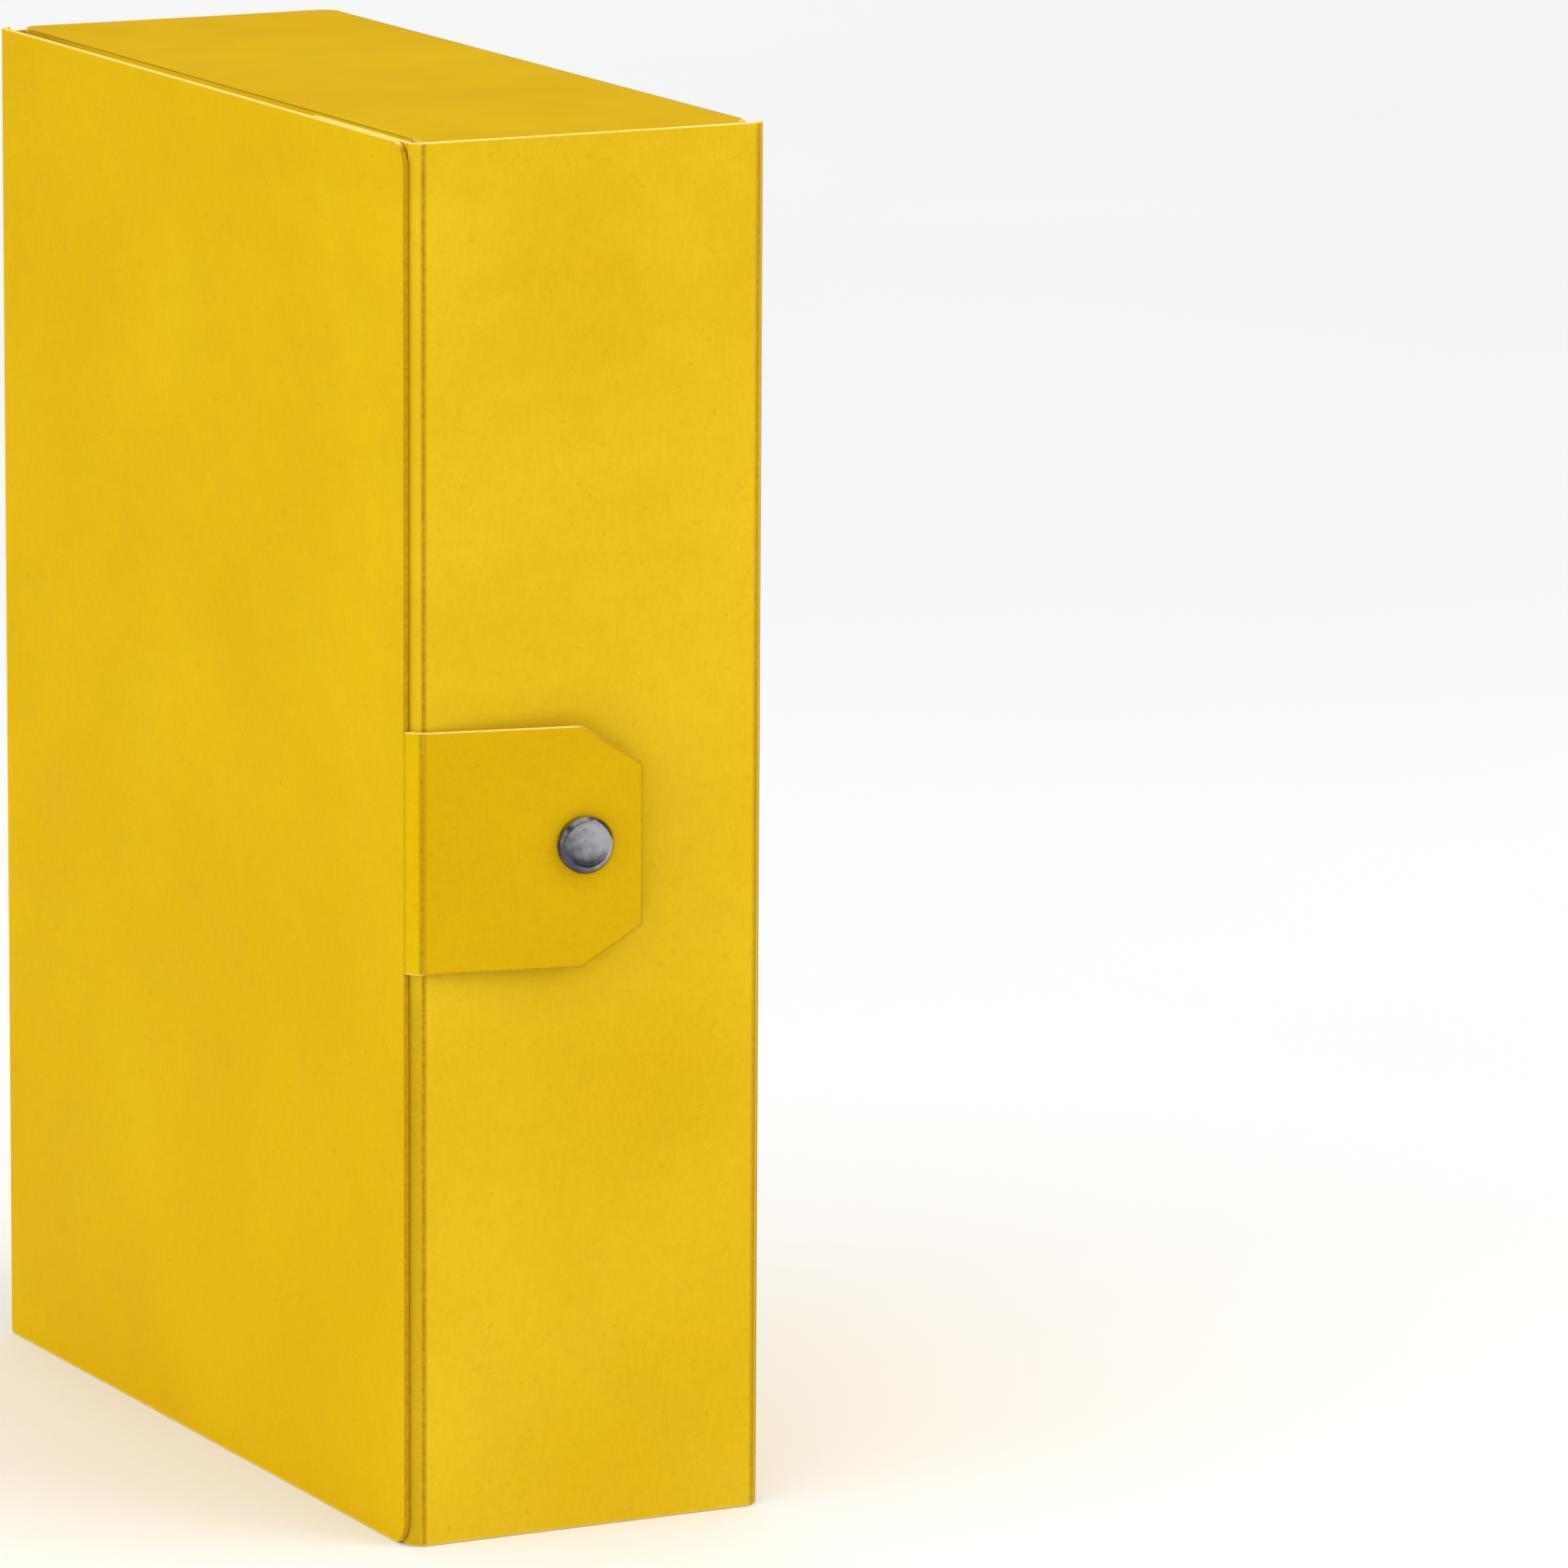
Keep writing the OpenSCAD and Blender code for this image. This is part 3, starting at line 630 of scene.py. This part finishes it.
# ---- turned metal parts ----
def turned(name, body, profile, origin, axis, mat, node):
    """A part turned round an axis from a profile of (radius, height) points."""
    bm = bmesh.new()
    rings, steps = [], 96
    for r, z in profile:
        if r < 1e-6:
            rings.append([bm.verts.new((0, 0, z * MM))])
        else:
            rings.append([bm.verts.new((r * MM * math.cos(2 * math.pi * k / steps),
                                        r * MM * math.sin(2 * math.pi * k / steps), z * MM))
                          for k in range(steps)])
    closed = profile[0][0] > 1e-6
    pairs = list(zip(rings, rings[1:])) + ([(rings[-1], rings[0])] if closed else [])
    for a, b in pairs:
        if len(a) + len(b) == 2:
            continue
        for k in range(steps):
            j = (k + 1) % steps
            if len(a) == 1:
                bm.faces.new((a[0], b[j], b[k]))
            elif len(b) == 1:
                bm.faces.new((a[k], a[j], b[0]))
            else:
                bm.faces.new((a[k], a[j], b[j], b[k]))
    bmesh.ops.recalc_face_normals(bm, faces=bm.faces[:])
    obj = add_object(name, bm, mat)
    obj.matrix_world = on_axis(origin, axis)
    finish_piece(obj, TURNED_CREASE, node, body)


def arc(r, z, radius, start, end, steps=5):
    """Points on an arc in the profile, angles in degrees from the +radius direction."""
    angles = [math.radians(start + (end - start) * k / steps) for k in range(steps + 1)]
    return [(r + radius * math.cos(a), z + radius * math.sin(a)) for a in angles]


def snap_cap():
    """Plain cap with a dished face and a bevelled rim, and the post that is clinched in the socket."""
    profile = [(0, CAP_H - DISH)]
    profile += [(r, CAP_H - DISH * (1 - (r / DISH_R) ** 4)) for r in (1.2, 2.2, 3.0, 3.7, 4.3, 4.8)]
    profile += arc(CAP_R - 1.75, CAP_H - 0.25, 0.25, 115, 80, 3)
    profile += arc(CAP_R - 1.15, CAP_H - 0.35, 0.35, 88, 48, 4)
    profile += arc(CAP_R - 0.45, CAP_H - 1.25, 0.45, 45, 0, 5)
    profile += [(CAP_R, 0.45)] + arc(CAP_R - 0.25, 0.25, 0.25, 0, -80, 4)
    ground = -BOARD - PLATE
    profile += [(POST_R, 0.0), (POST_R, ground), (POST_R + 0.7, ground), (POST_R + 0.62, ground - 0.22),
                (POST_R + 0.4, ground - CLINCH), (0.9, ground - CLINCH), (0.7, ground - 0.1), (0, ground)]
    turned("snap_cap_plain", "tab", profile, button, tab_normal, CAP_MAT, "snap_cap")


def snap_socket():
    """Socket of drawn sheet behind the tab, with a chamber for the ring spring and a mouth for the stud."""
    profile = [(POST_HOLE_R, 0), (5.4, 0)] + arc(5.2, -0.2, 0.2, 0, -90, 3)
    profile += [(4.3, -PLATE), (SOCKET_R, -PLATE - 0.3), (SOCKET_R, -SOCKET_H + 0.35)]
    profile += arc(SOCKET_R - 0.3, -SOCKET_H + 0.3, 0.3, 0, -90, 4)
    profile += [(MOUTH_R + 0.15, -SOCKET_H), (MOUTH_R, -SOCKET_H + 0.15), (MOUTH_R, -SOCKET_H + PLATE),
                (CHAMBER_R, -SOCKET_H + PLATE), (CHAMBER_R, -PLATE), (POST_HOLE_R, -PLATE)]
    turned("snap_socket_turned", "tab", [(r, z - BOARD) for r, z in profile], button, tab_normal,
           FITTING_MAT, "snap_socket")


def snap_stud():
    """Stud on the wall: a flange, a neck and the head that the ring spring grips, bored for the eyelet."""
    profile = [(BORE_R, 0), (FLANGE_R, 0)] + arc(FLANGE_R - 0.05, 0.15, 0.15, 0, 80, 3)
    profile += [(3.2, 0.4), (2.1, 0.42), (1.72, 0.62), (NECK_R, 0.9), (NECK_R, STUD_H - 1.0)]
    profile += arc(NECK_R + 0.15, STUD_H - 0.45, 0.25, -50, 50, 6)
    profile += [(1.5, STUD_H - 0.06), (1.0, STUD_H), (0, STUD_H)]
    profile += [(0, BORE_H + 0.02), (BORE_R - 0.03, BORE_H), (BORE_R, BORE_H - 0.1)]
    turned("snap_stud_turned", "fore_edge", profile, stud, Vector((0, -1, 0)), FITTING_MAT,
           "snap_stud")


def stud_eyelet():
    """Eyelet behind the wall, whose pin holds the stud."""
    profile = [(0, -BOARD - 0.4), (2.6, -BOARD - 0.4), (3.6, -BOARD - 0.36), (3.9, -BOARD - 0.2),
               (EYELET_R, -BOARD), (PIN_R, -BOARD), (PIN_R, PIN_H - 0.1), (PIN_R - 0.1, PIN_H), (0, PIN_H)]
    turned("stud_eyelet_turned", "fore_edge", profile, stud, Vector((0, -1, 0)), FITTING_MAT,
           "stud_eyelet")


def ring_spring():
    """A split ring of round wire with rounded ends, in the socket's chamber."""
    bm = bmesh.new()
    rings, steps, around = [], 72, 16
    first, last = math.radians(RING_GAP / 2), math.radians(360 - RING_GAP / 2)
    for k in range(steps + 1):
        a = first + (last - first) * k / steps
        wire = WIRE_R * (0.6 if k in (0, steps) else 1.0)
        out = Vector((math.cos(a), math.sin(a), 0))
        rings.append([bm.verts.new((out * (RING_R + wire * math.cos(2 * math.pi * i / around))
                                    + UP * (wire * math.sin(2 * math.pi * i / around))) * MM)
                      for i in range(around)])
    for a, b in zip(rings, rings[1:]):
        for i in range(around):
            j = (i + 1) % around
            bm.faces.new((a[i], a[j], b[j], b[i]))
    bm.faces.new(rings[0])
    bm.faces.new(list(reversed(rings[-1])))
    bmesh.ops.recalc_face_normals(bm, faces=bm.faces[:])
    obj = add_object("snap_ring_spring", bm, WIRE_MAT)
    depth = BOARD + SOCKET_H - PLATE - RING_SEAT
    obj.matrix_world = on_axis(button - tab_normal * depth, tab_normal)
    finish_piece(obj, WIRE_CREASE, "snap_spring", "tab")


snap_cap()
snap_socket()
snap_stud()
stud_eyelet()
ring_spring()


# ---- floor, light and camera ----
FLOOR_HALF, FLOOR_DROP = 14.0, 0.0002     # metres


def floor_material():
    """Pale, dull floor, hardly uneven in tone."""
    mat, tree, bsdf = new_material("pale_floor")
    coord = add(tree, "ShaderNodeTexCoord").outputs["Object"]
    faint = span(tree, cloud(tree, coord, 1.5, 3.0), 0.3, 0.7, 0.95, 0.98)
    tree.links.new(add(tree, "ShaderNodeCombineColor", {0: faint, 1: faint, 2: faint}).outputs[0],
                   bsdf.inputs["Base Color"])
    bsdf.inputs["Roughness"].default_value = 0.9
    bsdf.inputs["Specular IOR Level"].default_value = 0.1
    return mat


bm = bmesh.new()
bmesh.ops.create_grid(bm, x_segments=8, y_segments=8, size=FLOOR_HALF)
floor = add_object("floor", bm, floor_material())
floor.location.z = -FLOOR_DROP


def softbox(name, azimuth, elevation, distance, size, power, aim=(0, 0, 0.17)):
    """An area light of size metres and power watts, at azimuth and elevation in degrees and distance in
    metres as seen from aim. Azimuth is 0 on the -y side and grows towards +x."""
    data = bpy.data.lights.new(name, "AREA")
    data.shape, data.size, data.size_y, data.energy = "RECTANGLE", size[0], size[1], power
    obj = bpy.data.objects.new(name, data)
    a, e = math.radians(azimuth), math.radians(elevation)
    back = Vector((math.sin(a) * math.cos(e), -math.cos(a) * math.cos(e), math.sin(e)))
    obj.location = Vector(aim) + back * distance
    obj.rotation_mode = "QUATERNION"
    obj.rotation_quaternion = (-back).to_track_quat("-Z", "Y")
    bpy.context.scene.collection.objects.link(obj)


softbox("left_softbox", -84, 16, 2.2, (1.5, 1.8), 9.5)
softbox("right_softbox", 42, 34, 2.2, (1.4, 1.6), 11)
softbox("front_softbox", -46, 12, 2.6, (1.2, 1.6), 5)
softbox("top_softbox", -20, 78, 2.4, (2.2, 2.2), 12)
softbox("backdrop_softbox", 153, 86, 2.6, (4.0, 3.0), 24, aim=(1.9, 3.8, 0))

world = bpy.data.worlds.new("studio")
world.use_nodes = True
sky = world.node_tree.nodes["Background"]
sky.inputs[0].default_value = (1, 1, 1, 1)
# The room is darker in reflections than in diffuse light, as behind black flags in a studio.
ROOM_DIFFUSE, ROOM_GLOSSY = 0.76, 0.06
glossy = add(world.node_tree, "ShaderNodeLightPath").outputs["Is Glossy Ray"]
strength = span(world.node_tree, glossy, 0.0, 1.0, ROOM_DIFFUSE, ROOM_GLOSSY)
world.node_tree.links.new(strength, sky.inputs[1])
bpy.context.scene.world = world
bpy.context.scene.view_settings.view_transform = "Standard"

AZIMUTH, ELEVATION, ROLL = math.radians(-27.256), math.radians(11.075), math.radians(0.337)
DISTANCE, LENS, SENSOR = 2.8276, 253.32, 36.0
SHIFT_RIGHT, SHIFT_UP = 0.10563, -0.00835     # of the camera, in metres, from the middle of the box
right = Vector((math.cos(AZIMUTH), math.sin(AZIMUTH), 0))
ahead = Vector((-math.sin(AZIMUTH) * math.cos(ELEVATION), math.cos(AZIMUTH) * math.cos(ELEVATION),
                -math.sin(ELEVATION)))
above = right.cross(ahead)
cam_right = right * math.cos(ROLL) + above * math.sin(ROLL)
cam_up = above * math.cos(ROLL) - right * math.sin(ROLL)
camera_data = bpy.data.cameras.new("camera")
camera_data.lens, camera_data.sensor_width = LENS, SENSOR
camera_data.clip_start, camera_data.clip_end = 0.05, 60.0
camera = bpy.data.objects.new("camera", camera_data)
place = Vector((0, 0, TALL * MM / 2)) - ahead * DISTANCE + cam_right * SHIFT_RIGHT + cam_up * SHIFT_UP
camera.matrix_world = Matrix.Translation(place) @ Matrix((cam_right, cam_up, -ahead)).transposed().to_4x4()
bpy.context.scene.collection.objects.link(camera)
bpy.context.scene.camera = camera
